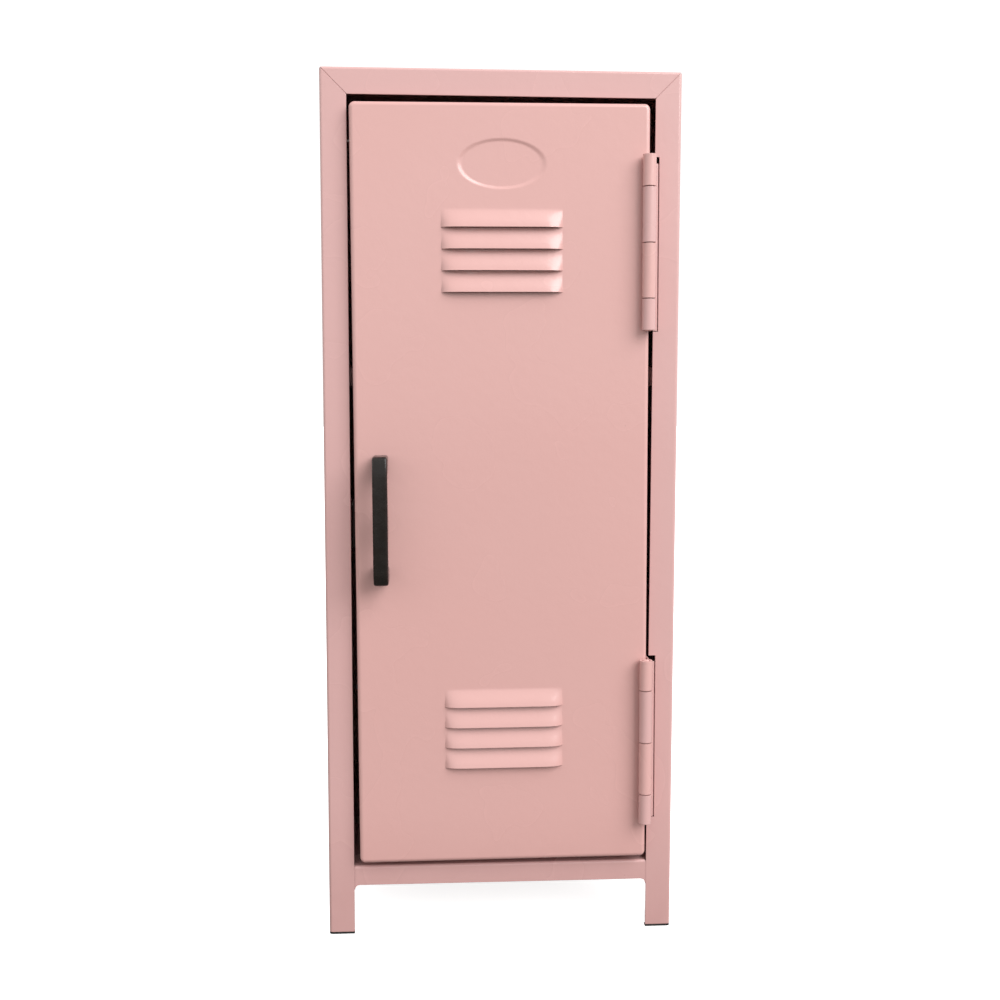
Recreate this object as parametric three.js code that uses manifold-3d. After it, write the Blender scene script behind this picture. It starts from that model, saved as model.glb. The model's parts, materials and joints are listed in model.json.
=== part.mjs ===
// Small steel locker cabinet: folded sheet body on four legs, one hinged door with louvres.
// Cabinet coordinates: X runs across the front, Y from the front face to the back, Z up from
// the floor. The exported group moves them so that its origin is the centre of the base.
import * as THREE from "three";
import Module from "manifold-3d";
import { mergeVertices } from "three/addons/utils/BufferGeometryUtils.js";

const wasm = await Module();
wasm.setup();

// ---- Driving sizes, in millimetres ----
const cabinetWidth = 140.8;
const cabinetDepth = 140;
const cabinetHeight = 346;
const sheet = 0.7; // steel sheet of the body and the door
const seam = 0.3; // air between pieces that lie against each other
const foldRadius = 1.2; // outside radius of a fold
const cornerRadius = 1.2; // ground weld at the two upper corners of the body
const stileWidth = 10.3;
const headerHeight = 10.3;
const railHeight = 8;
const railFillet = 2.2;
const railTabReach = 6; // welded tab behind each stile, at the ends of the bottom rail
const legHeight = 20.6; // floor to the lower edge of the bottom rail
const legDepth = 12; // side wall left on each leg, front to back
const legCutRadius = 3;
const footPadHeight = 0.6;
const footPadWidth = 2.4;
const flangeHeight = 8; // folded edges of the top, the shelf and the floor tray
const flangeInset = 13; // from the front and back faces to a side flange
const mitreDepth = 2; // how far back the mitred corner of the front frame reaches

const doorProud = 4; // door face in front of the frame face
const doorPanDepth = 10; // door face to the free edge of its flanges
const doorEdgeRadius = 1.5;
const doorCornerRadius = 2.2;
const doorGapFree = 1.9; // handle side
const doorGapHinge = 1.95;
const doorGapTop = 2.8;
const doorGapBottom = 3.2;
const doorSag = 0.3; // degrees the door hangs out of square, free side low

const louvreCount = 4;
const louvrePitch = 8.3;
const louvreWidth = 47.4;
const louvreHeight = 7.5;
const louvreProud = 2.3;
const louvreColumns = 24;
const louvreRows = 6;
const louvreEndPower = 12; // how late the face falls away towards each end
const upperLouvreDrop = 47.4; // door top to the first mouth
const lowerLouvreRise = 39.3; // door bottom to the last mouth

const badgeWidth = 36;
const badgeHeight = 19.9;
const badgeSink = 0.5;
const badgeRim = 3;
const badgeDrop = 23.2; // door top to the centre of the oval
const pressOffset = 0.35; // oval and louvres, from the door's middle towards the hinges

const hingeLength = 67.2;
const hingeEndKnuckle = 12.2; // first and last of the four knuckles
const hingeTopDrop = 33; // cabinet top to the upper end of the upper hinge
const hingeBottomRise = 47.2; // floor to the lower end of the lower hinge
const knuckleRadius = 2.6;
const knuckleGap = 0.4;
const pinRadius = 1.4;
const pinOverhang = 0.4;
const leafThickness = 0.6;
const leafBackClear = 0.6; // barrel to the door face and to the leaf plates
const frameLeafReach = 8.2; // welded plate behind the stile
const frameLeafTopInset = 2.2; // hinge's upper end to the frame leaf's plate
const frameLeafRelief = 1.1; // plate cut away beside the door's knuckles
const hingeNotchDepth = 2.4; // opening cut wider beside each hinge
const hingeNotchClear = 0.3;

const handleLength = 50.3;
const handleWidth = 5.8;
const handleDepth = 13;
const handleBevel = 0.9;
const handleEndRadius = 2.2;
const handleTopTaper = 8; // length over which the front face bends back at the upper end
const handleBottomTaper = 4.5;
const handleTaperDepth = 1.3;
const handleFoot = 6.5;
const handleGrip = 4; // bar thickness where the fingers go
const handleBelly = 8.4; // bar thickness at the middle
const handleEdgeInset = 10.4; // free edge of the door to the handle's centre line
const handleDrop = 160.6; // door top to the handle's centre

const screwRadius = 1.25;
const screwHeadRadius = 2.4;
const screwHeadHeight = 1.5;
const handleScrewLength = 8;
const washerRadius = 3.2;
const washerThickness = 0.6;
const recessWidth = 0.7;
const recessDepth = 0.8;

const shelfHeight = 232; // floor to the upper face of the shelf
const shelfSetback = 16; // frame face to the shelf's front fold

const catchHeight = 168.6;
const catchLength = 19.6;
const catchBodyWidth = 11;
const catchBodyDepth = 12;
const catchWall = 2;
const poleThickness = 0.8;
const poleProud = 0.6;
const magnetRecess = 1;
const catchScrewInset = 2.9;
const catchScrewLength = 7;
const strikeLength = 17;
const strikeReach = 7.6; // contact plate, across the door
const strikeBase = 8; // plate welded to the door

const rivetRadius = 1.2;
const rivetHeadRadius = 2.3;
const rivetHeadHeight = 0.9;
const rivetTailRadius = 1.9;
const rivetTailHeight = 0.8;
const rivetRows = 3;
const rivetEndInset = 40; // from the floor tray and the top to the outer rivets

// ---- Derived sizes ----
const halfWidth = cabinetWidth / 2;
const openingHalf = halfWidth - stileWidth;
const railTop = legHeight + railHeight;
const openingTop = cabinetHeight - headerHeight;
const wallTop = cabinetHeight - sheet - seam;
const innerHalf = halfWidth - sheet - seam;
const behindFrame = sheet + seam;
const legBottom = footPadHeight + seam;
const backPanelFront = cabinetDepth - 2 * sheet - seam;
const trayBack = backPanelFront - seam;

const doorLeft = -openingHalf + doorGapFree;
const doorRight = openingHalf - doorGapHinge;
const doorBottom = railTop + doorGapBottom;
const doorTop = openingTop - doorGapTop;
const doorFront = -doorProud;
const doorInside = doorFront + sheet;
const doorBack = doorFront + doorPanDepth;
const pressX = (doorLeft + doorRight) / 2 + pressOffset;

const doorLeafInner = doorRight + seam;
const doorLeafOuter = doorLeafInner + leafThickness;
const frameLeafInner = doorLeafOuter + seam;
const frameLeafOuter = frameLeafInner + leafThickness;
const hingeX = frameLeafOuter - knuckleRadius;
const hingeY = doorFront - leafBackClear - knuckleRadius;
const leafFront = hingeY + knuckleRadius + leafBackClear;
const pinBore = pinRadius + seam;
const upperHingeBottom = cabinetHeight - hingeTopDrop - hingeLength;
const lowerHingeBottom = hingeBottomRise;
const hingeMiddleZ = (upperHingeBottom + lowerHingeBottom + hingeLength) / 2;

const handleX = doorLeft + handleEdgeInset;
const handleZ = doorTop - handleDrop;
const handleScrewOffset = handleLength / 2 - handleFoot / 2;
const screwHole = screwRadius + seam;
const strikeFace = doorBack + seam + sheet;
const poleFront = strikeFace + seam;
const rearFace = cabinetDepth + seam + rivetHeadHeight;
const frontFace = doorFront - seam - handleDepth;

// ---- Materials ----
function paint(color, roughness, metalness) {
  return new THREE.MeshStandardMaterial({ color, roughness, metalness });
}

const bodyPaint = [0xe3b3ac, 0.35, 0.1];
const doorPaint = [0xe6b5ae, 0.32, 0.1];
const blackEnamel = [0x2a2420, 0.35, 0.2];
const zincSteel = [0xb4b6b8, 0.4, 0.9];
const blackRubber = [0x151515, 0.85, 0];
const brownPlastic = [0x3a211c, 0.5, 0];
const darkMagnet = [0x3a3a3d, 0.5, 0.6];

// ---- Solids ----
function solid(geometry) {
  const bare = geometry.clone();
  bare.deleteAttribute("normal");
  bare.deleteAttribute("uv");
  const merged = mergeVertices(bare, 1e-4);
  const corners = Array.from(merged.index.array);
  const triangles = [];
  for (let i = 0; i < corners.length; i += 3) {
    const [a, b, c] = corners.slice(i, i + 3);
    if (a !== b && b !== c && c !== a) triangles.push(a, b, c);
  }
  return new wasm.Manifold(
    new wasm.Mesh({
      numProp: 3,
      vertProperties: merged.attributes.position.array,
      triVerts: new Uint32Array(triangles),
    }),
  );
}

function meshFrom(name, manifold, look) {
  const made = manifold.getMesh();
  const geometry = new THREE.BufferGeometry();
  geometry.setAttribute("position", new THREE.BufferAttribute(made.vertProperties, made.numProp));
  geometry.setIndex(new THREE.BufferAttribute(made.triVerts, 1));
  geometry.computeVertexNormals();
  const mesh = new THREE.Mesh(geometry, paint(...look));
  mesh.name = name;
  return mesh;
}

function block(x, y, z) {
  const geometry = new THREE.BoxGeometry(x[1] - x[0], y[1] - y[0], z[1] - z[0]);
  geometry.translate((x[0] + x[1]) / 2, (y[0] + y[1]) / 2, (z[0] + z[1]) / 2);
  return solid(geometry);
}

const alongX = new THREE.Matrix4().makeBasis(
  new THREE.Vector3(0, 1, 0),
  new THREE.Vector3(0, 0, 1),
  new THREE.Vector3(1, 0, 0),
);

// Prisms: the outline is (y, z) along X, (x, z) along Y and (x, y) along Z.
function prismX(outline, x0, x1, curveSegments = 6) {
  const geometry = new THREE.ExtrudeGeometry(outline, {
    depth: x1 - x0,
    bevelEnabled: false,
    curveSegments,
  });
  geometry.applyMatrix4(alongX);
  geometry.translate(x0, 0, 0);
  return solid(geometry);
}

function prismY(outline, y0, y1, curveSegments = 6) {
  const geometry = new THREE.ExtrudeGeometry(outline, {
    depth: y1 - y0,
    bevelEnabled: false,
    curveSegments,
  });
  geometry.rotateX(Math.PI / 2);
  geometry.translate(0, y1, 0);
  return solid(geometry);
}

function prismZ(outline, z0, z1, curveSegments = 6) {
  const geometry = new THREE.ExtrudeGeometry(outline, {
    depth: z1 - z0,
    bevelEnabled: false,
    curveSegments,
  });
  geometry.translate(0, 0, z0);
  return solid(geometry);
}

// A prism along Y whose front edges are rounded inwards from the outline.
function pillow(outline, front, back, radius) {
  const geometry = new THREE.ExtrudeGeometry(outline, {
    depth: back - front,
    bevelEnabled: true,
    bevelThickness: radius,
    bevelSize: radius,
    bevelOffset: -radius,
    bevelSegments: 4,
    curveSegments: 4,
  });
  geometry.rotateX(Math.PI / 2);
  geometry.translate(0, back + radius, 0);
  const wide = 2 * cabinetHeight;
  return solid(geometry).intersect(block([-wide, wide], [front, back], [-wide, wide]));
}

// A turned piece: profile points are (radius, distance), and the distance runs along the axis.
function turned(points, segments) {
  const profile = points.map(([r, d]) => new THREE.Vector2(r, d));
  return new THREE.LatheGeometry(profile, segments);
}

function cylinderY(x, z, radius, y0, y1, segments = 20) {
  const geometry = new THREE.CylinderGeometry(radius, radius, y1 - y0, segments);
  geometry.translate(x, (y0 + y1) / 2, z);
  return solid(geometry);
}

function cylinderZ(x, y, radius, z0, z1, segments = 24) {
  const geometry = new THREE.CylinderGeometry(radius, radius, z1 - z0, segments);
  geometry.rotateX(Math.PI / 2);
  geometry.translate(x, y, (z0 + z1) / 2);
  return solid(geometry);
}

function cylinderX(y, z, radius, x0, x1, segments = 20) {
  const geometry = new THREE.CylinderGeometry(radius, radius, x1 - x0, segments);
  geometry.rotateZ(Math.PI / 2);
  geometry.translate((x0 + x1) / 2, y, z);
  return solid(geometry);
}

function roundedRectangle(x0, x1, z0, z1, radius) {
  const shape = new THREE.Shape();
  shape.moveTo(x0 + radius, z0);
  shape.lineTo(x1 - radius, z0);
  shape.absarc(x1 - radius, z0 + radius, radius, -Math.PI / 2, 0);
  shape.lineTo(x1, z1 - radius);
  shape.absarc(x1 - radius, z1 - radius, radius, 0, Math.PI / 2);
  shape.lineTo(x0 + radius, z1);
  shape.absarc(x0 + radius, z1 - radius, radius, Math.PI / 2, Math.PI);
  shape.lineTo(x0, z0 + radius);
  shape.absarc(x0 + radius, z0 + radius, radius, Math.PI, 1.5 * Math.PI);
  return shape;
}

// The points of a path with right-angled corners, each corner rounded by its own radius.
function roundedPath(corners, radii) {
  const steps = 4;
  const path = [corners[0]];
  for (let i = 1; i < corners.length - 1; i += 1) {
    const into = corners[i].clone().sub(corners[i - 1]).normalize();
    const away = corners[i + 1].clone().sub(corners[i]).normalize();
    const radius = radii[i];
    const centre = corners[i].clone().addScaledVector(into, -radius).addScaledVector(away, radius);
    for (let step = 0; step <= steps; step += 1) {
      const angle = (step / steps) * (Math.PI / 2);
      const point = centre.clone();
      point.addScaledVector(away, -radius * Math.cos(angle));
      point.addScaledVector(into, radius * Math.sin(angle));
      path.push(point);
    }
  }
  path.push(corners[corners.length - 1]);
  return path;
}

// Section of a folded sheet. The corners lie on one face; the sheet's other face is to the left
// of the path when side is 1 and to its right when side is -1.
function foldedSheet(points, side, thickness = sheet, radius = foldRadius) {
  const corners = points.map(([a, b]) => new THREE.Vector2(a, b));
  const directions = corners.slice(1).map((corner, i) => corner.clone().sub(corners[i]).normalize());
  const normals = directions.map((d) => new THREE.Vector2(-d.y, d.x).multiplyScalar(side));
  const last = corners.length - 1;
  const inside = Math.max(radius - thickness, 0.05);
  const offset = [];
  const nearRadii = [];
  const farRadii = [];
  corners.forEach((corner, i) => {
    const moved = corner.clone();
    if (i > 0) moved.addScaledVector(normals[i - 1], thickness);
    if (i < last) moved.addScaledVector(normals[i], thickness);
    offset.push(moved);
    const turn = i > 0 && i < last ? directions[i - 1].cross(directions[i]) * side : 1;
    nearRadii.push(turn > 0 ? radius : inside);
    farRadii.push(turn > 0 ? inside : radius);
  });
  const near = roundedPath(corners, nearRadii);
  const far = roundedPath(offset, farRadii);
  return new THREE.Shape([...near, ...far.reverse()]);
}

// ---- Body ----
const beyond = 5;
const bodyEnvelope = prismY(
  roundedRectangle(-halfWidth, halfWidth, -beyond, cabinetHeight, cornerRadius),
  -beyond,
  cabinetDepth + beyond,
);

// Region beyond the corner's mitre line, which runs from the outer to the inner corner. The
// header's side of the line is cut from a stile, and the stile's side from the header.
function mitreRegion(hand, headerSide) {
  const lift = (headerSide ? -0.5 : 0.5) * seam;
  const slope = headerHeight / stileWidth;
  const outerX = halfWidth + beyond;
  const innerX = openingHalf - beyond;
  const outerZ = cabinetHeight + beyond * slope + lift;
  const innerZ = openingTop - beyond * slope + lift;
  const corner = new THREE.Shape();
  corner.moveTo(hand * outerX, outerZ);
  corner.lineTo(hand * innerX, innerZ);
  corner.lineTo(hand * (headerSide ? innerX : outerX), headerSide ? outerZ : innerZ);
  corner.closePath();
  return prismY(corner, -beyond, mitreDepth + (headerSide ? 0 : seam));
}

function rivetHeights() {
  const low = railTop + rivetEndInset;
  const high = wallTop - rivetEndInset;
  return Array.from({ length: rivetRows }, (_, i) => low + ((high - low) * i) / (rivetRows - 1));
}

const rivetX = halfWidth - stileWidth / 2;

function backRivetHoles(hand) {
  const holes = rivetHeights().map((z) =>
    cylinderY(hand * rivetX, z, rivetRadius + seam, backPanelFront - beyond, cabinetDepth + beyond),
  );
  return holes.reduce((all, hole) => all.add(hole));
}

// The notch leans with the hinge line.
function hingeNotch(bottom) {
  const notch = block(
    [openingHalf - beyond, openingHalf + hingeNotchDepth],
    [-beyond, foldRadius + seam],
    [bottom - hingeNotchClear, bottom + hingeLength + hingeNotchClear],
  );
  return notch
    .translate(-hingeX, 0, -hingeMiddleZ)
    .rotate(0, -doorSag, 0)
    .translate(hingeX, 0, hingeMiddleZ);
}

// hand is 1 for the hinge side and -1 for the handle side.
function sidePanel(hand) {
  const section = foldedSheet(
    [
      [hand * openingHalf, 0],
      [hand * halfWidth, 0],
      [hand * halfWidth, cabinetDepth],
      [hand * openingHalf, cabinetDepth],
    ],
    hand,
  );
  let panel = prismZ(section, legBottom, cabinetHeight);
  const outside = hand > 0 ? [0, halfWidth + beyond] : [-halfWidth - beyond, 0];
  const overWall = [wallTop, cabinetHeight + beyond];
  panel = panel.subtract(block(outside, [mitreDepth, cabinetDepth + beyond], overWall));
  panel = panel.subtract(mitreRegion(hand, true));
  const legCut = roundedRectangle(
    legDepth,
    cabinetDepth - legDepth,
    -beyond,
    legHeight,
    legCutRadius,
  );
  panel = panel.subtract(prismX(legCut, outside[0], outside[1]));
  panel = panel.subtract(backRivetHoles(hand)).intersect(bodyEnvelope);
  if (hand > 0) {
    panel = panel.subtract(hingeNotch(upperHingeBottom)).subtract(hingeNotch(lowerHingeBottom));
  }
  return panel;
}

// A sheet folded down at the front and the back, with flanges let in at both sides.
function tray(front, back, top, frontDrop, half) {
  const section = foldedSheet(
    [
      [front, top - frontDrop],
      [front, top],
      [back, top],
      [back, top - flangeHeight],
    ],
    -1,
  );
  let made = prismX(section, -half, half);
  for (const hand of [-1, 1]) {
    const flange = [hand * innerHalf, hand * (innerHalf - sheet)].sort((a, b) => a - b);
    made = made.add(
      block(
        flange,
        [front + flangeInset, back - flangeInset],
        [top - flangeHeight, top - sheet / 2],
      ),
    );
  }
  return made;
}

function topPanel() {
  let panel = tray(0, cabinetDepth, cabinetHeight, headerHeight, halfWidth);
  for (const hand of [-1, 1]) {
    const ends = [hand * (openingHalf - seam), hand * (halfWidth + beyond)].sort((a, b) => a - b);
    const rearEnds = [cabinetDepth - 2 * foldRadius, cabinetDepth + beyond];
    panel = panel.subtract(mitreRegion(hand, false));
    panel = panel.subtract(block(ends, rearEnds, [0, cabinetHeight - sheet]));
  }
  return panel.intersect(bodyEnvelope);
}

// Small curved gusset where the rail's lower edge meets a leg.
function railGusset(hand) {
  const edge = openingHalf - seam;
  const gusset = new THREE.Shape();
  gusset.moveTo(hand * edge, legHeight + sheet);
  gusset.lineTo(hand * edge, legHeight - railFillet);
  gusset.quadraticCurveTo(hand * edge, legHeight, hand * (edge - railFillet), legHeight);
  gusset.lineTo(hand * (edge - railFillet), legHeight + sheet);
  return prismY(gusset, 0, sheet);
}

// Joggled tab: on the back of the rail, then behind the stile that it is welded to.
function railTab(hand) {
  const heights = [legHeight + foldRadius, railTop - foldRadius - sheet];
  const between = (a, b) => [hand * a, hand * b].sort((one, other) => one - other);
  const root = openingHalf - seam - railTabReach;
  const onRail = block(between(root, openingHalf - seam), [sheet / 2, behindFrame + sheet], heights);
  const onStile = block(
    between(root, openingHalf + railTabReach),
    [behindFrame, behindFrame + sheet],
    heights,
  );
  return onRail.add(onStile);
}

function bottomPanel() {
  let panel = tray(0, trayBack, railTop, railHeight, innerHalf);
  for (const hand of [-1, 1]) {
    const ends = [hand * (openingHalf - seam), hand * (halfWidth + beyond)].sort((a, b) => a - b);
    panel = panel.subtract(block(ends, [-beyond, behindFrame], [0, railTop + beyond]));
    panel = panel.add(railGusset(hand)).add(railTab(hand));
  }
  return panel;
}

function backPanel() {
  const panel = block(
    [-innerHalf, innerHalf],
    [backPanelFront, backPanelFront + sheet],
    [legHeight, wallTop],
  );
  return panel.subtract(backRivetHoles(-1)).subtract(backRivetHoles(1));
}

function shelf() {
  return tray(shelfSetback, trayBack, shelfHeight, flangeHeight, innerHalf);
}

// Moulded pad under one leg, with the leg's own L-shaped footprint.
function footPad(hand, rear) {
  const y = rear ? cabinetDepth : 0;
  const yEnd = rear ? cabinetDepth - legDepth : legDepth;
  const section = foldedSheet(
    [
      [hand * openingHalf, y],
      [hand * halfWidth, y],
      [hand * halfWidth, yEnd],
    ],
    rear ? -hand : hand,
    footPadWidth,
    foldRadius,
  );
  return prismZ(section, 0, footPadHeight);
}

function backRivet(x, z) {
  const tail = backPanelFront - seam;
  const outer = cabinetDepth + seam;
  const geometry = turned(
    [
      [0, tail - rivetTailHeight],
      [rivetTailRadius, tail - rivetTailHeight],
      [rivetTailRadius, tail],
      [rivetRadius, tail],
      [rivetRadius, outer],
      [rivetHeadRadius, outer],
      [rivetHeadRadius * 0.85, outer + rivetHeadHeight * 0.6],
      [rivetHeadRadius * 0.5, outer + rivetHeadHeight * 0.92],
      [0, outer + rivetHeadHeight],
    ],
    16,
  );
  geometry.translate(x, 0, z);
  return solid(geometry);
}

// ---- Door ----
// Share of the full height that a louvre's face stands proud, from 0 at its mouth to 1 at the top.
function louvreSlope(rise) {
  const mouthSlope = 0.35;
  const topSlope = 0.6;
  const cube = rise ** 3;
  const square = rise ** 2;
  return (
    2 * cube - 3 * square + 1 - mouthSlope * (cube - 2 * square + rise) - topSlope * (cube - square)
  );
}

// A pressed hood over a slit, crowned both ways: its mouth opens downwards. The inner form is
// the outer one drawn in by the sheet's thickness.
function louvreHood(mouth, drawnIn) {
  const half = louvreWidth / 2 - drawnIn;
  const height = louvreHeight - drawnIn;
  const face = doorFront + drawnIn;
  const geometry = new THREE.BoxGeometry(2, 1, 1, louvreColumns, 1, louvreRows);
  const position = geometry.getAttribute("position");
  for (let i = 0; i < position.count; i += 1) {
    const across = Math.sin((position.getX(i) * Math.PI) / 2);
    const rise = position.getZ(i) + 0.5;
    const crown = (1 - Math.abs(across) ** louvreEndPower) * louvreSlope(rise);
    const y = position.getY(i) < 0 ? face - louvreProud * crown : face + sheet / 2;
    position.setXYZ(i, pressX + half * across, y, mouth + height * rise);
  }
  return solid(geometry);
}

function louvreMouths() {
  const upper = doorTop - upperLouvreDrop;
  const lower = doorBottom + lowerLouvreRise;
  const steps = Array.from({ length: louvreCount }, (_, i) => i * louvrePitch);
  return [...steps.map((step) => upper - step), ...steps.map((step) => lower + step)];
}

// Oval dish: its outline lies on the door face and its flat floor is badgeSink deeper.
function badgeDish() {
  const rim = (2 * badgeRim) / badgeWidth;
  const slope = [0, 0.06, 0.3, 0.7, 0.94, 1];
  const points = [
    [0, -sheet / 2],
    [1, -sheet / 2],
  ];
  slope.forEach((depth, i) => {
    points.push([1 - (rim * i) / (slope.length - 1), depth * badgeSink]);
  });
  points.push([0, badgeSink]);
  const geometry = turned(points, 56);
  geometry.scale(badgeWidth / 2, 1, badgeHeight / 2);
  geometry.translate(pressX, doorFront, doorTop - badgeDrop);
  return solid(geometry);
}

function door() {
  const outer = roundedRectangle(doorLeft, doorRight, doorBottom, doorTop, doorCornerRadius);
  const inner = roundedRectangle(
    doorLeft + sheet,
    doorRight - sheet,
    doorBottom + sheet,
    doorTop - sheet,
    doorCornerRadius - sheet,
  );
  let pan = pillow(outer, doorFront, doorBack, doorEdgeRadius);
  pan = pan.subtract(pillow(inner, doorInside, doorBack + beyond, doorEdgeRadius - sheet));
  for (const mouth of louvreMouths()) {
    pan = pan.add(louvreHood(mouth, 0)).subtract(louvreHood(mouth - 0.01, sheet));
  }
  pan = pan.add(badgeDish().translate(0, sheet, 0)).subtract(badgeDish());
  for (const offset of [-handleScrewOffset, handleScrewOffset]) {
    pan = pan.subtract(
      cylinderY(handleX, handleZ + offset, screwHole, doorFront - beyond, doorInside + beyond),
    );
  }
  return pan;
}

// ---- Hinges ----
// Four knuckles from the top down: the door leaf owns the first and third.
function knuckles(bottom) {
  const middle = (hingeLength - 2 * hingeEndKnuckle) / 2;
  const lengths = [hingeEndKnuckle, middle, middle, hingeEndKnuckle];
  let top = bottom + hingeLength;
  return lengths.map((length, i) => {
    const z1 = top - (i > 0 ? knuckleGap / 2 : 0);
    top -= length;
    const z0 = top + (i < lengths.length - 1 ? knuckleGap / 2 : 0);
    return { z0, z1, onDoor: i % 2 === 0 };
  });
}

// Frame leaf: back from its knuckles, across the notch in line with the stile's face, and then
// behind the stile. Beside the door's knuckles it is cut away.
function frameLeafPlate(bottom) {
  const flush = leafThickness;
  const back = behindFrame + leafThickness;
  const joggle = openingHalf + hingeNotchDepth - seam - leafThickness;
  const section = [
    [frameLeafInner, leafFront],
    [frameLeafInner, flush],
    [joggle, flush],
    [joggle, back],
    [openingHalf + frameLeafReach, back],
  ];
  const top = bottom + hingeLength - frameLeafTopInset;
  let plate = prismZ(foldedSheet(section, -1, leafThickness, leafThickness + 0.05), bottom, top);
  for (const { z0, z1, onDoor } of knuckles(bottom)) {
    const across = [frameLeafInner - beyond, frameLeafOuter + frameLeafRelief];
    if (onDoor) {
      plate = plate.subtract(
        block(across, [leafFront - beyond, flush + seam], [z0 - knuckleGap, z1 + knuckleGap]),
      );
    }
  }
  return plate;
}

function hingeLeaf(bottom, onDoor) {
  const across = onDoor ? [doorLeafInner, doorLeafOuter] : [frameLeafInner, frameLeafOuter];
  let leaf = onDoor
    ? block(across, [leafFront, doorBack - leafThickness], [bottom, bottom + hingeLength])
    : frameLeafPlate(bottom);
  for (const { z0, z1 } of knuckles(bottom).filter((knuckle) => knuckle.onDoor === onDoor)) {
    leaf = leaf.add(cylinderZ(hingeX, hingeY, knuckleRadius, z0, z1));
    leaf = leaf.add(block(across, [hingeY, leafFront + leafThickness], [z0, z1]));
  }
  return leaf.subtract(
    cylinderZ(hingeX, hingeY, pinBore, bottom - beyond, bottom + hingeLength + beyond),
  );
}

function hingePin(bottom) {
  const low = bottom - pinOverhang;
  const high = bottom + hingeLength + pinOverhang;
  const geometry = turned(
    [
      [0, low],
      [pinRadius * 0.6, low + pinOverhang * 0.15],
      [pinRadius, low + pinOverhang],
      [pinRadius, high - pinOverhang],
      [pinRadius * 0.6, high - pinOverhang * 0.15],
      [0, high],
    ],
    20,
  );
  geometry.rotateX(Math.PI / 2);
  geometry.translate(hingeX, hingeY, 0);
  return solid(geometry);
}

// ---- Handle ----
function handle() {
  const seat = doorFront - seam;
  const outer = seat - handleDepth;
  const half = handleLength / 2;
  const foot = half - handleFoot;
  const grip = outer + handleGrip;
  const belly = outer + handleBelly;
  const tip = outer + handleTaperDepth;
  const side = new THREE.Shape();
  side.moveTo(seat, handleZ - half);
  side.lineTo(tip + handleEndRadius, handleZ - half);
  side.quadraticCurveTo(tip, handleZ - half, tip, handleZ - half + handleEndRadius);
  side.lineTo(outer, handleZ - half + handleBottomTaper);
  side.lineTo(outer, handleZ + half - handleTopTaper);
  side.lineTo(tip, handleZ + half - handleEndRadius);
  side.quadraticCurveTo(tip, handleZ + half, tip + handleEndRadius, handleZ + half);
  side.lineTo(seat, handleZ + half);
  side.lineTo(seat, handleZ + foot);
  side.splineThru([
    new THREE.Vector2(grip + 2.8, handleZ + foot - 0.5),
    new THREE.Vector2(grip + 0.6, handleZ + foot * 0.87),
    new THREE.Vector2(grip, handleZ + foot * 0.7),
    new THREE.Vector2(grip + 1.2, handleZ + foot * 0.42),
    new THREE.Vector2(belly, handleZ),
    new THREE.Vector2(grip + 1.2, handleZ - foot * 0.42),
    new THREE.Vector2(grip, handleZ - foot * 0.7),
    new THREE.Vector2(grip + 0.6, handleZ - foot * 0.87),
    new THREE.Vector2(grip + 2.8, handleZ - foot + 0.5),
  ]);
  side.lineTo(seat, handleZ - foot);
  const geometry = new THREE.ExtrudeGeometry(side, {
    depth: handleWidth - 2 * handleBevel,
    bevelEnabled: true,
    bevelThickness: handleBevel,
    bevelSize: handleBevel,
    bevelOffset: -handleBevel,
    bevelSegments: 3,
    curveSegments: 4,
  });
  geometry.applyMatrix4(alongX);
  geometry.translate(handleX - handleWidth / 2 + handleBevel, 0, 0);
  let bar = solid(geometry);
  for (const offset of [-handleScrewOffset, handleScrewOffset]) {
    bar = bar.subtract(
      cylinderY(handleX, handleZ + offset, screwHole, seat - handleScrewLength, seat + beyond),
    );
  }
  return bar;
}

// Pan-head screw with a cross recess: its head rises along +Y from 0 and its shaft runs to -Y.
function screw(length) {
  const geometry = turned(
    [
      [0, -length],
      [screwRadius * 0.7, -length],
      [screwRadius, -length + screwRadius * 0.5],
      [screwRadius, 0],
      [screwHeadRadius, 0],
      [screwHeadRadius, screwHeadHeight * 0.45],
      [screwHeadRadius * 0.75, screwHeadHeight * 0.85],
      [screwHeadRadius * 0.35, screwHeadHeight],
      [0, screwHeadHeight],
    ],
    20,
  );
  const arm = screwHeadRadius * 0.6;
  const half = recessWidth / 2;
  const depth = [screwHeadHeight - recessDepth, screwHeadHeight + beyond];
  return solid(geometry)
    .subtract(block([-arm, arm], depth, [-half, half]))
    .subtract(block([-half, half], depth, [-arm, arm]));
}

const washerFront = doorInside + seam;

function handleWasher(offset) {
  const back = washerFront + washerThickness;
  const z = handleZ + offset;
  return cylinderY(handleX, z, washerRadius, washerFront, back, 24).subtract(
    cylinderY(handleX, z, screwHole, washerFront - beyond, back + beyond),
  );
}

function handleScrew(offset) {
  const seat = washerFront + washerThickness + seam;
  return screw(handleScrewLength).translate(handleX, seat, handleZ + offset);
}

// ---- Magnetic catch ----
const catchPlateX = -openingHalf;
const catchBodyX = catchPlateX + seam;
const catchBodyFront = poleFront + poleProud;
const catchBodyBack = catchBodyFront + catchBodyDepth;
const catchScrewY = (catchBodyFront + catchBodyBack) / 2;
const catchScrewOffset = catchLength / 2 - catchScrewInset;
const pocketHalf = catchScrewOffset - screwHole - 1;
const pocketX = [catchBodyX + catchWall, catchBodyX + catchBodyWidth - catchWall];
const magnetHalf = pocketHalf - seam;
const magnetBack = catchBodyBack - catchWall - seam;

function catchScrewHoles() {
  const holes = [-catchScrewOffset, catchScrewOffset].map((offset) =>
    cylinderX(
      catchScrewY,
      catchHeight + offset,
      screwHole,
      catchPlateX - beyond,
      catchPlateX + catchScrewLength + seam,
    ),
  );
  return holes[0].add(holes[1]);
}

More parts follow.
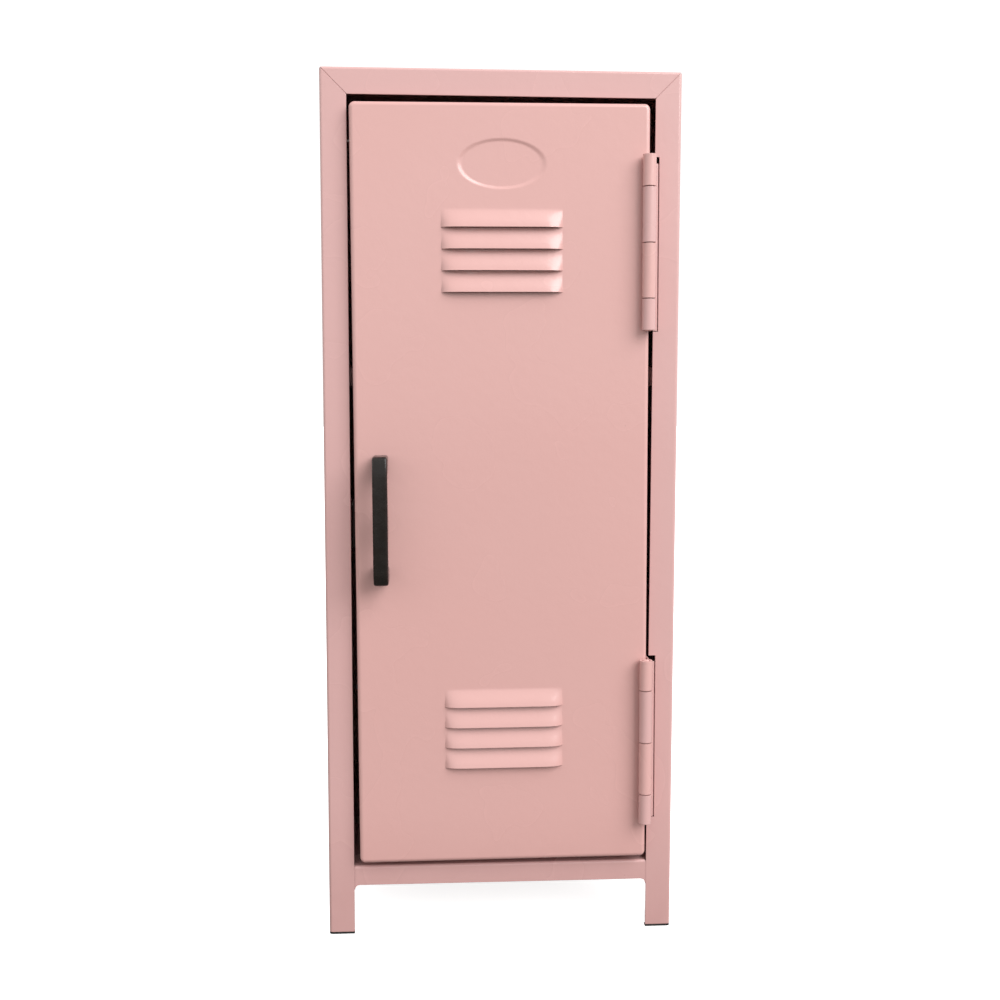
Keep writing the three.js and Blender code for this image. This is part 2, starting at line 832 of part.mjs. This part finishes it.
function catchBracket() {
  const section = foldedSheet(
    [
      [-halfWidth + 2 * sheet, behindFrame],
      [catchPlateX, behindFrame],
      [catchPlateX, catchBodyBack],
    ],
    1,
  );
  const half = catchLength / 2;
  return prismZ(section, catchHeight - half, catchHeight + half).subtract(catchScrewHoles());
}

function catchHousing() {
  const half = catchLength / 2;
  const body = block(
    [catchBodyX, catchBodyX + catchBodyWidth],
    [catchBodyFront, catchBodyBack],
    [catchHeight - half, catchHeight + half],
  );
  const pocket = block(
    pocketX,
    [catchBodyFront - beyond, catchBodyBack - catchWall],
    [catchHeight - pocketHalf, catchHeight + pocketHalf],
  );
  return body.subtract(pocket).subtract(catchScrewHoles());
}

function polePlate(inner) {
  const x = inner ? pocketX[1] - seam - poleThickness : pocketX[0] + seam;
  return block(
    [x, x + poleThickness],
    [poleFront, magnetBack],
    [catchHeight - magnetHalf, catchHeight + magnetHalf],
  );
}

function catchMagnet() {
  const inset = 2 * seam + poleThickness;
  return block(
    [pocketX[0] + inset, pocketX[1] - inset],
    [catchBodyFront + magnetRecess, magnetBack],
    [catchHeight - magnetHalf, catchHeight + magnetHalf],
  );
}

function catchScrew(offset) {
  const seat = catchPlateX - sheet - seam;
  return screw(catchScrewLength)
    .rotate(0, 0, 90)
    .translate(seat, catchScrewY, catchHeight + offset);
}

function strikePlate() {
  const freeEdge = doorLeft + seam;
  const web = freeEdge + strikeReach;
  const section = foldedSheet(
    [
      [web + strikeBase, doorInside + seam],
      [web, doorInside + seam],
      [web, strikeFace - sheet],
      [freeEdge, strikeFace - sheet],
    ],
    -1,
  );
  return prismZ(section, catchHeight - strikeLength / 2, catchHeight + strikeLength / 2);
}

// ---- Assembly ----
const hands = [
  ["left", -1],
  ["right", 1],
];
const ends = [
  ["upper", 1],
  ["lower", -1],
];

const cabinet = new THREE.Group();
cabinet.name = "locker_cabinet";
cabinet.position.y = -(frontFace + rearFace) / 2;

for (const [side, hand] of hands) {
  cabinet.add(meshFrom(`side_panel_${side}`, sidePanel(hand), bodyPaint));
  cabinet.add(meshFrom(`foot_pad_front_${side}`, footPad(hand, false), blackRubber));
  cabinet.add(meshFrom(`foot_pad_rear_${side}`, footPad(hand, true), blackRubber));
  rivetHeights().forEach((z, i) => {
    cabinet.add(meshFrom(`back_rivet_${side}_${i + 1}`, backRivet(hand * rivetX, z), zincSteel));
  });
}
cabinet.add(meshFrom("top_panel", topPanel(), bodyPaint));
cabinet.add(meshFrom("bottom_panel", bottomPanel(), bodyPaint));
cabinet.add(meshFrom("back_panel", backPanel(), bodyPaint));
cabinet.add(meshFrom("shelf", shelf(), bodyPaint));
cabinet.add(meshFrom("catch_bracket", catchBracket(), bodyPaint));
cabinet.add(meshFrom("catch_housing", catchHousing(), brownPlastic));
cabinet.add(meshFrom("catch_magnet", catchMagnet(), darkMagnet));
cabinet.add(meshFrom("catch_pole_outer", polePlate(false), zincSteel));
cabinet.add(meshFrom("catch_pole_inner", polePlate(true), zincSteel));
for (const [end, sign] of ends) {
  cabinet.add(meshFrom(`catch_screw_${end}`, catchScrew(sign * catchScrewOffset), zincSteel));
}

// The hinge line and all that hangs on it lean together by doorSag.
const hung = new THREE.Group();
hung.name = "hung_door";
hung.rotation.y = THREE.MathUtils.degToRad(-doorSag);
const pivot = new THREE.Vector3(hingeX, 0, hingeMiddleZ);
hung.position.copy(pivot).sub(pivot.clone().applyEuler(hung.rotation));
cabinet.add(hung);

hung.add(meshFrom("door", door(), doorPaint));
hung.add(meshFrom("strike_plate", strikePlate(), zincSteel));
hung.add(meshFrom("handle", handle(), blackEnamel));
for (const [end, sign] of ends) {
  const offset = sign * handleScrewOffset;
  hung.add(meshFrom(`handle_screw_${end}`, handleScrew(offset), zincSteel));
  hung.add(meshFrom(`handle_washer_${end}`, handleWasher(offset), zincSteel));
}
for (const [end, bottom] of [
  ["upper", upperHingeBottom],
  ["lower", lowerHingeBottom],
]) {
  hung.add(meshFrom(`hinge_door_leaf_${end}`, hingeLeaf(bottom, true), doorPaint));
  hung.add(meshFrom(`hinge_frame_leaf_${end}`, hingeLeaf(bottom, false), bodyPaint));
  hung.add(meshFrom(`hinge_pin_${end}`, hingePin(bottom), doorPaint));
}

export default cabinet;
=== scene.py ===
"""Looks for the locker cabinet: materials, floor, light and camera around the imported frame."""
import json
import math

import bmesh
import bpy
from mathutils import Matrix, Vector


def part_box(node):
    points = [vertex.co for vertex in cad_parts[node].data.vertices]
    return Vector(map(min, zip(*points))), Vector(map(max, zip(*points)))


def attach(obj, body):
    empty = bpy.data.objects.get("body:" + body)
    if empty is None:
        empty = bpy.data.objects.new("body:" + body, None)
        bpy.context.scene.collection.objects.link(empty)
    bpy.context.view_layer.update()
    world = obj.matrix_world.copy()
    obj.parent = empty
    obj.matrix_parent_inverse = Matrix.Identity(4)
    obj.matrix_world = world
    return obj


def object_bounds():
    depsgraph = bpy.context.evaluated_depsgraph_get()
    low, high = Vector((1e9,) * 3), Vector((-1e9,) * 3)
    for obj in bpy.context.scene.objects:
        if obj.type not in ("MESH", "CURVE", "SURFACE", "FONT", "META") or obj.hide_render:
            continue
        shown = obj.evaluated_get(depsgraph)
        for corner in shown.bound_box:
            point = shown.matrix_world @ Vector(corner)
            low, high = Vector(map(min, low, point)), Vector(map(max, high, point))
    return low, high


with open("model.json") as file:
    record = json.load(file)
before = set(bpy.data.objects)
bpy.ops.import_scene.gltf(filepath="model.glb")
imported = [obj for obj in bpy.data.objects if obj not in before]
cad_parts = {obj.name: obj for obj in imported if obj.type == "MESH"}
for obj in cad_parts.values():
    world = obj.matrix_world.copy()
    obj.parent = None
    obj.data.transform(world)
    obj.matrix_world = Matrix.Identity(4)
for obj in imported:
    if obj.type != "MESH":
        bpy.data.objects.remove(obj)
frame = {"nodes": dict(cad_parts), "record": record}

CAD_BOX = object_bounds()
NODES = frame["nodes"]
SCENE = bpy.context.scene


# ---------------------------------------------------------------- node helpers
class Graph:
    """A material's node tree, with short calls for the nodes the materials share."""

    def __init__(self, name):
        self.material = bpy.data.materials.new(name)
        self.material.use_nodes = True
        self.tree = self.material.node_tree
        self.tree.nodes.clear()
        self.output = self.tree.nodes.new("ShaderNodeOutputMaterial")
        self.shader = self.tree.nodes.new("ShaderNodeBsdfPrincipled")
        self.link(self.shader.outputs["BSDF"], self.output.inputs["Surface"])
        self.where = self.tree.nodes.new("ShaderNodeTexCoord").outputs["Object"]

    def link(self, out, into):
        self.tree.links.new(out, into)

    def constant(self, **values):
        for key, value in values.items():
            self.shader.inputs[key.replace("_", " ")].default_value = value

    def stretch(self, scale):
        node = self.tree.nodes.new("ShaderNodeMapping")
        node.inputs["Scale"].default_value = scale
        self.link(self.where, node.inputs["Vector"])
        return node.outputs["Vector"]

    def noise(self, scale, detail=2.0, rough=0.5, vector=None):
        node = self.tree.nodes.new("ShaderNodeTexNoise")
        node.inputs["Scale"].default_value = scale
        node.inputs["Detail"].default_value = detail
        node.inputs["Roughness"].default_value = rough
        self.link(vector or self.where, node.inputs["Vector"])
        return node.outputs["Fac"]

    def voronoi(self, scale):
        node = self.tree.nodes.new("ShaderNodeTexVoronoi")
        node.inputs["Scale"].default_value = scale
        self.link(self.where, node.inputs["Vector"])
        return node.outputs["Distance"]

    def remap(self, value, low, high, to_low, to_high, smooth=False):
        node = self.tree.nodes.new("ShaderNodeMapRange")
        if smooth:
            node.interpolation_type = "SMOOTHSTEP"
        self.link(value, node.inputs["Value"])
        for key, number in zip(("From Min", "From Max", "To Min", "To Max"),
                               (low, high, to_low, to_high)):
            node.inputs[key].default_value = number
        return node.outputs["Result"]

    def math(self, operation, a, b):
        node = self.tree.nodes.new("ShaderNodeMath")
        node.operation = operation
        for socket, value in zip(node.inputs, (a, b)):
            if isinstance(value, (int, float)):
                socket.default_value = value
            else:
                self.link(value, socket)
        return node.outputs["Value"]

    def mix(self, factor, a, b, blend="MIX"):
        node = self.tree.nodes.new("ShaderNodeMix")
        node.data_type = "RGBA"
        node.blend_type = blend
        for socket, value in zip((node.inputs["Factor"], node.inputs[6], node.inputs[7]),
                                 (factor, a, b)):
            if isinstance(value, (int, float)):
                socket.default_value = value
            elif isinstance(value, tuple):
                socket.default_value = (*value, 1.0)
            else:
                self.link(value, socket)
        return node.outputs[2]

    def edges(self, radius, low, high):
        """1 on edges narrower than radius and 0 on flat faces."""
        soft = self.tree.nodes.new("ShaderNodeBevel")
        soft.samples = 6
        soft.inputs["Radius"].default_value = radius
        plain = self.tree.nodes.new("ShaderNodeNewGeometry")
        dot = self.tree.nodes.new("ShaderNodeVectorMath")
        dot.operation = "DOT_PRODUCT"
        self.link(soft.outputs["Normal"], dot.inputs[0])
        self.link(plain.outputs["Normal"], dot.inputs[1])
        return self.remap(dot.outputs["Value"], high, low, 0.0, 1.0)

    def bump(self, layers, radius=None):
        """Stacks bump layers of (height, strength, distance) on a rounded-edge normal."""
        normal = None
        if radius:
            soft = self.tree.nodes.new("ShaderNodeBevel")
            soft.samples = 6
            soft.inputs["Radius"].default_value = radius
            normal = soft.outputs["Normal"]
        for height, strength, distance in layers:
            node = self.tree.nodes.new("ShaderNodeBump")
            node.inputs["Strength"].default_value = strength
            node.inputs["Distance"].default_value = distance
            self.link(height, node.inputs["Height"])
            if normal:
                self.link(normal, node.inputs["Normal"])
            normal = node.outputs["Normal"]
        self.link(normal, self.shader.inputs["Normal"])


def shade(rgb, factor):
    return tuple(channel * factor for channel in rgb)


def paint(name, rgb, rough=0.24):
    """Powder coat over steel: mottled colour, orange peel, worn edges with a painted highlight,
    specks, and painted shade that darkens the colour towards the floor.
    """
    g = Graph(name)
    broad = g.remap(g.noise(7.0, 2.0, 0.45), 0.15, 0.85, 0.0, 1.0, smooth=True)
    cloudy = g.remap(g.noise(16.0, 2.0, 0.45), 0.15, 0.85, 0.0, 1.0, smooth=True)
    colour = g.mix(broad, shade(rgb, 0.975), shade(rgb, 1.02))
    colour = g.mix(g.math("MULTIPLY", cloudy, 0.5), colour,
                   tuple(c * k for c, k in zip(rgb, (1.0, 0.965, 0.96))))
    specks = g.remap(g.voronoi(95.0), 0.018, 0.03, 1.0, 0.0)
    sparse = g.remap(g.noise(23.0, 1.0), 0.66, 0.7, 0.0, 0.75)
    colour = g.mix(g.math("MULTIPLY", specks, sparse), colour, (0.16, 0.09, 0.075))
    # Painted shade: below 6 cm the colour darkens towards the floor, in patches.
    height = g.tree.nodes.new("ShaderNodeSeparateXYZ")
    g.link(g.where, height.inputs["Vector"])
    shade_near_floor = g.remap(height.outputs["Z"], 0.0, 0.06, 0.9, 0.0, smooth=True)
    shade_near_floor = g.math("MULTIPLY", shade_near_floor, g.remap(g.noise(60.0, 4.0, 0.6), 0.25, 0.75, 0.6, 1.0))
    colour = g.mix(shade_near_floor, colour, tuple(c * k for c, k in zip(rgb, (0.86, 0.8, 0.79))))
    edge = g.edges(0.0005, 0.5, 0.93)
    edge_wear_and_painted_light = g.math("MULTIPLY", edge, g.remap(g.noise(160.0, 4.0, 0.65), 0.4, 0.66, 0.1, 0.35))
    # Worn edges, lighter in colour; the lighter colour also stands as a painted highlight along the
    # rounded edges.
    colour = g.mix(edge_wear_and_painted_light, colour, tuple(min(1.0, c * 1.1 + 0.03) for c in rgb))
    g.link(colour, g.shader.inputs["Base Color"])
    smear = g.remap(g.noise(30.0, 2.0, 0.45), 0.15, 0.85, rough - 0.04, rough + 0.07, smooth=True)
    g.link(g.math("ADD", smear, g.math("MULTIPLY", edge_wear_and_painted_light, 0.12)), g.shader.inputs["Roughness"])
    g.constant(IOR=1.5, Coat_Weight=0.35, Coat_Roughness=0.12)
    g.bump([(g.noise(240.0, 2.0, 0.5), 0.10, 0.0006), (g.noise(1100.0, 2.0, 0.5), 0.05, 0.0002)],
           radius=0.00025)
    return g.material


def enamel(name, rgb, worn_and_reflected, rough=0.26):
    """Black enamel, reddish on its rounded edges: partly thin worn enamel, partly a painted
    reflection of the pink door.
    """
    g = Graph(name)
    cloudy = g.remap(g.noise(120.0, 3.0, 0.6), 0.3, 0.7, 0.0, 1.0)
    colour = g.mix(cloudy, shade(rgb, 0.8), shade(rgb, 1.35))
    edge = g.edges(0.0011, 0.86, 0.995)
    edge_wear_and_painted_light = g.math("MULTIPLY", edge, g.remap(g.noise(260.0, 4.0, 0.7), 0.35, 0.6, 0.35, 0.8))
    # Rounded edges take the reddish tint, a painted reflection of the pink door mixed with wear.
    colour = g.mix(edge_wear_and_painted_light, colour, worn_and_reflected)
    g.link(colour, g.shader.inputs["Base Color"])
    g.link(g.remap(g.noise(300.0, 4.0, 0.6), 0.3, 0.7, rough - 0.08, rough + 0.08),
           g.shader.inputs["Roughness"])
    g.constant(IOR=1.5, Specular_IOR_Level=0.45)
    g.bump([(g.noise(500.0, 2.0, 0.5), 0.12, 0.0004), (g.noise(2400.0, 2.0, 0.5), 0.06, 0.0001)],
           radius=0.0004)
    return g.material


def zinc(name):
    """Zinc plate with patches, grime and fine brushing."""
    g = Graph(name)
    patches = g.remap(g.noise(300.0, 3.0, 0.6), 0.3, 0.7, 0.0, 1.0)
    colour = g.mix(patches, (0.46, 0.46, 0.47), (0.66, 0.655, 0.64))
    grime = g.remap(g.noise(900.0, 4.0, 0.7), 0.5, 0.75, 0.0, 0.35)
    colour = g.mix(grime, colour, (0.2, 0.185, 0.165))
    g.link(colour, g.shader.inputs["Base Color"])
    g.link(g.remap(g.noise(700.0, 3.0, 0.6), 0.3, 0.7, 0.24, 0.44), g.shader.inputs["Roughness"])
    g.constant(Metallic=1.0)
    brushed = g.noise(1500.0, 2.0, 0.5, g.stretch((0.08, 1.0, 1.0)))
    g.bump([(brushed, 0.12, 0.0001), (g.noise(1800.0, 2.0), 0.06, 0.0001)], radius=0.0002)
    return g.material


def rubber(name):
    """Matt black rubber with a fine grain."""
    g = Graph(name)
    g.link(g.mix(g.remap(g.noise(400.0, 3.0), 0.3, 0.7, 0.0, 1.0), (0.009, 0.009, 0.009),
                 (0.03, 0.028, 0.026)), g.shader.inputs["Base Color"])
    g.link(g.remap(g.noise(900.0, 3.0), 0.3, 0.7, 0.65, 0.9), g.shader.inputs["Roughness"])
    g.bump([(g.noise(2500.0, 2.0), 0.25, 0.0001)], radius=0.0002)
    return g.material


def plastic(name, rgb):
    """Satin moulded plastic, faintly uneven in colour."""
    g = Graph(name)
    g.link(g.mix(g.remap(g.noise(90.0, 3.0), 0.3, 0.7, 0.0, 1.0), shade(rgb, 0.93), rgb),
           g.shader.inputs["Base Color"])
    g.link(g.remap(g.noise(600.0, 3.0), 0.3, 0.7, 0.4, 0.55), g.shader.inputs["Roughness"])
    g.bump([(g.noise(3000.0, 2.0), 0.15, 0.0001)], radius=0.0003)
    return g.material


def ferrite(name):
    """Dull grey ceramic magnet with a pitted surface."""
    g = Graph(name)
    g.link(g.mix(g.remap(g.noise(500.0, 4.0), 0.3, 0.7, 0.0, 1.0), (0.025, 0.025, 0.028),
                 (0.06, 0.058, 0.056)), g.shader.inputs["Base Color"])
    g.link(g.remap(g.noise(1200.0, 3.0), 0.3, 0.7, 0.5, 0.75), g.shader.inputs["Roughness"])
    g.bump([(g.noise(1500.0, 4.0), 0.3, 0.0001)], radius=0.0002)
    return g.material


# ---------------------------------------------------------------- materials on the frame
DOOR_PINK = (0.70, 0.412, 0.386)
BODY_PINK = (0.67, 0.41, 0.395)
LOOKS = {
    "body_paint": paint("body_paint", BODY_PINK),
    "door_paint": paint("door_paint", DOOR_PINK),
    # The second colour is the reddish edge tint: wear and a painted reflection of the pink door.
    "black_enamel": enamel("black_enamel", (0.006, 0.004, 0.0028), (0.085, 0.026, 0.02)),
    "zinc_steel": zinc("zinc_steel"),
    "black_rubber": rubber("black_rubber"),
    "brown_plastic": plastic("brown_plastic", (0.042, 0.016, 0.012)),
    "ferrite": ferrite("ferrite"),
}
SLOTS = {part["node"]: part["material_slot"] for part in frame["record"]["subparts"]}


def smoothing(limit_degrees):
    """Geometry nodes that weld the facets and smooth every edge flatter than the limit."""
    group = bpy.data.node_groups.new("smooth_by_angle", "GeometryNodeTree")
    group.interface.new_socket("Geometry", in_out="INPUT", socket_type="NodeSocketGeometry")
    group.interface.new_socket("Geometry", in_out="OUTPUT", socket_type="NodeSocketGeometry")
    add = group.nodes.new
    start, end = add("NodeGroupInput"), add("NodeGroupOutput")
    weld = add("GeometryNodeMergeByDistance")
    weld.inputs["Distance"].default_value = 2e-6
    faces, sharp = add("GeometryNodeSetShadeSmooth"), add("GeometryNodeSetShadeSmooth")
    sharp.domain = "EDGE"
    sharp.inputs["Shade Smooth"].default_value = False
    angle = add("GeometryNodeInputMeshEdgeAngle")
    compare = add("FunctionNodeCompare")
    compare.operation = "GREATER_THAN"
    compare.inputs[1].default_value = math.radians(limit_degrees)
    link = group.links.new
    link(start.outputs[0], weld.inputs["Geometry"])
    link(weld.outputs["Geometry"], faces.inputs["Geometry"])
    link(faces.outputs["Geometry"], sharp.inputs["Geometry"])
    link(angle.outputs["Unsigned Angle"], compare.inputs[0])
    link(compare.outputs["Result"], sharp.inputs["Selection"])
    link(sharp.outputs["Geometry"], end.inputs[0])
    return group


SMOOTH_LIMIT = 32.0
SMOOTH = smoothing(SMOOTH_LIMIT)
for name, node in NODES.items():
    node.data.materials.clear()
    node.data.materials.append(LOOKS[SLOTS[name]])
    modifier = node.modifiers.new("smooth", "NODES")
    modifier.node_group = SMOOTH
    flatten = node.modifiers.new("flat_faces", "WEIGHTED_NORMAL")
    flatten.mode = "FACE_AREA"
    flatten.weight = 100
    flatten.keep_sharp = True

# ---------------------------------------------------------------- paint-filled welds
# The mitres of the front frame and the two ends of its bottom rail.
MM = 0.001
SEAM = 0.3 * MM
SHEET = 0.7 * MM
MITRE_SET_BACK = 0.16 * MM
RAIL_SET_BACK = 0.03 * MM
WELD_END_CLEAR = 0.35 * MM
WELD_STEPS = 24
WELD_FILL = 0.48  # half the bead's width, as a share of the seam
RIPPLE = 0.02 * MM
RIPPLE_TURN = 2.1  # radians from one ring of the bead to the next


def weld_bead(name, start, end, across, face, set_back):
    """Fills the seam from start to end (x, z) with a shallow rippled bead behind the face."""
    along = (end - start).normalized()
    start, end = start + along * WELD_END_CLEAR, end - along * WELD_END_CLEAR
    side = across.normalized() * (SEAM * WELD_FILL)
    rings = []
    for step in range(WELD_STEPS + 1):
        middle = start.lerp(end, step / WELD_STEPS)
        ripple = RIPPLE * math.sin(step * RIPPLE_TURN)
        front = face + set_back + ripple
        crown = front - RIPPLE
        back = face + SHEET * 0.8
        rings.append([(middle - side, front), (middle, crown), (middle + side, front),
                      (middle + side, back), (middle - side, back)])
    vertices = [(spot.x, y, spot.y) for ring in rings for spot, y in ring]
    count = len(rings[0])
    faces = []
    for step in range(WELD_STEPS):
        low, high = step * count, (step + 1) * count
        for i in range(count):
            j = (i + 1) % count
            faces.append((low + i, low + j, high + j, high + i))
    faces.append(tuple(range(count)))
    faces.append(tuple(reversed(range(len(vertices) - count, len(vertices)))))
    mesh = bpy.data.meshes.new(name)
    mesh.from_pydata(vertices, [], faces)
    shell = bmesh.new()
    shell.from_mesh(mesh)
    bmesh.ops.recalc_face_normals(shell, faces=shell.faces)
    shell.to_mesh(mesh)
    shell.free()
    piece = bpy.data.objects.new(name, mesh)
    SCENE.collection.objects.link(piece)
    mesh.materials.append(LOOKS["body_paint"])
    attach(piece, "cabinet")


HALF_WIDTH = CAD_BOX[1][0]
CABINET_TOP = CAD_BOX[1][2]
FRAME_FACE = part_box("side_panel_left")[0][1]
STILE = 10.3 * MM
HEADER = 10.3 * MM
LEG = 20.6 * MM
RAIL = 8.0 * MM
RAIL_FILLET = 2.2 * MM
CORNER_CLEAR = 1.2 * MM
for label, hand in (("left", -1.0), ("right", 1.0)):
    outer = Vector((hand * HALF_WIDTH, CABINET_TOP))
    inner = Vector((hand * (HALF_WIDTH - STILE), CABINET_TOP - HEADER))
    slant = (outer - inner).normalized()
    weld_bead("weld_mitre_" + label, inner, outer - slant * CORNER_CLEAR,
              Vector((-slant.y, slant.x)), FRAME_FACE, MITRE_SET_BACK)
    seam_x = hand * (HALF_WIDTH - STILE - SEAM / 2)
    weld_bead("weld_rail_" + label, Vector((seam_x, LEG - RAIL_FILLET)), Vector((seam_x, LEG + RAIL)),
              Vector((1.0, 0.0)), FRAME_FACE, RAIL_SET_BACK)

# ---------------------------------------------------------------- floor, light and camera
FLOOR_HALF = 6.0
floor_mesh = bpy.data.meshes.new("floor")
corners = [(-FLOOR_HALF, -FLOOR_HALF, 0), (FLOOR_HALF, -FLOOR_HALF, 0),
           (FLOOR_HALF, FLOOR_HALF, 0), (-FLOOR_HALF, FLOOR_HALF, 0)]
floor_mesh.from_pydata(corners, [], [(0, 1, 2, 3)])
floor = bpy.data.objects.new("floor", floor_mesh)
SCENE.collection.objects.link(floor)
floor_look = Graph("floor")
floor_look.link(floor_look.remap(floor_look.noise(3.0, 2.0), 0.3, 0.7, 0.5, 0.6),
                floor_look.shader.inputs["Roughness"])
floor_look.constant(Base_Color=(0.9, 0.9, 0.9, 1.0), Emission_Color=(1.0, 1.0, 1.0, 1.0),
                    Emission_Strength=0.8)
bounce = floor_look.tree.nodes.new("ShaderNodeBsdfDiffuse")
bounce.inputs["Color"].default_value = (0.2, 0.19, 0.18, 1.0)
seen_floor = floor_look.tree.nodes.new("ShaderNodeMixShader")
floor_rays = floor_look.tree.nodes.new("ShaderNodeLightPath")
floor_look.link(floor_rays.outputs["Is Camera Ray"], seen_floor.inputs["Fac"])
floor_look.link(bounce.outputs["BSDF"], seen_floor.inputs[1])
floor_look.link(floor_look.shader.outputs["BSDF"], seen_floor.inputs[2])
floor_look.link(seen_floor.outputs["Shader"], floor_look.output.inputs["Surface"])
floor_mesh.materials.append(floor_look.material)

world = bpy.data.worlds.new("studio")
SCENE.world = world
world.use_nodes = True
tree = world.node_tree
tree.nodes.clear()
seen = tree.nodes.new("ShaderNodeBackground")
seen.inputs["Color"].default_value = (1.0, 1.0, 1.0, 1.0)
seen.inputs["Strength"].default_value = 1.1
lit = tree.nodes.new("ShaderNodeBackground")
lit.inputs["Color"].default_value = (1.0, 0.99, 0.98, 1.0)
lit.inputs["Strength"].default_value = 0.9
rays = tree.nodes.new("ShaderNodeLightPath")
mixed = tree.nodes.new("ShaderNodeMixShader")
out = tree.nodes.new("ShaderNodeOutputWorld")
tree.links.new(rays.outputs["Is Camera Ray"], mixed.inputs["Fac"])
tree.links.new(lit.outputs["Background"], mixed.inputs[1])
tree.links.new(seen.outputs["Background"], mixed.inputs[2])
tree.links.new(mixed.outputs["Shader"], out.inputs["Surface"])


def softbox(name, place, aim, width, height, power):
    data = bpy.data.lights.new(name, "AREA")
    data.shape = "RECTANGLE"
    data.size, data.size_y = width, height
    data.energy = power
    light = bpy.data.objects.new(name, data)
    light.location = place
    light.rotation_euler = (Vector(aim) - Vector(place)).to_track_quat("-Z", "Y").to_euler()
    SCENE.collection.objects.link(light)


KEY_PLACE, KEY_AIM = (1.62, -1.85, 1.9), (0.0, 0.0, 0.3)
KEY_SIDE, KEY_WATTS = 2.2, 84.0
softbox("key", KEY_PLACE, KEY_AIM, KEY_SIDE, KEY_SIDE, KEY_WATTS)

CAMERA_PLACE = Vector((-0.02905, -0.53829, 0.22434))
CAMERA_YAW, CAMERA_PITCH, CAMERA_ROLL = (math.radians(a) for a in (-3.4205, -5.465, 0.2548))
CAMERA_LENS = 43.2
turn = (Matrix.Rotation(CAMERA_ROLL, 3, "Y") @ Matrix.Rotation(CAMERA_PITCH, 3, "X")
        @ Matrix.Rotation(CAMERA_YAW, 3, "Z"))
right, ahead, up = turn.col
camera_data = bpy.data.cameras.new("camera")
camera_data.sensor_width = 36.0
camera_data.lens = CAMERA_LENS
camera_data.clip_start = 0.01
camera = bpy.data.objects.new("camera", camera_data)
camera_axes = Matrix((right, up, -ahead)).transposed().to_4x4()
camera.matrix_world = Matrix.Translation(CAMERA_PLACE) @ camera_axes
SCENE.collection.objects.link(camera)
SCENE.camera = camera
SCENE.view_settings.view_transform = "Standard"
SCENE.view_settings.look = "None"
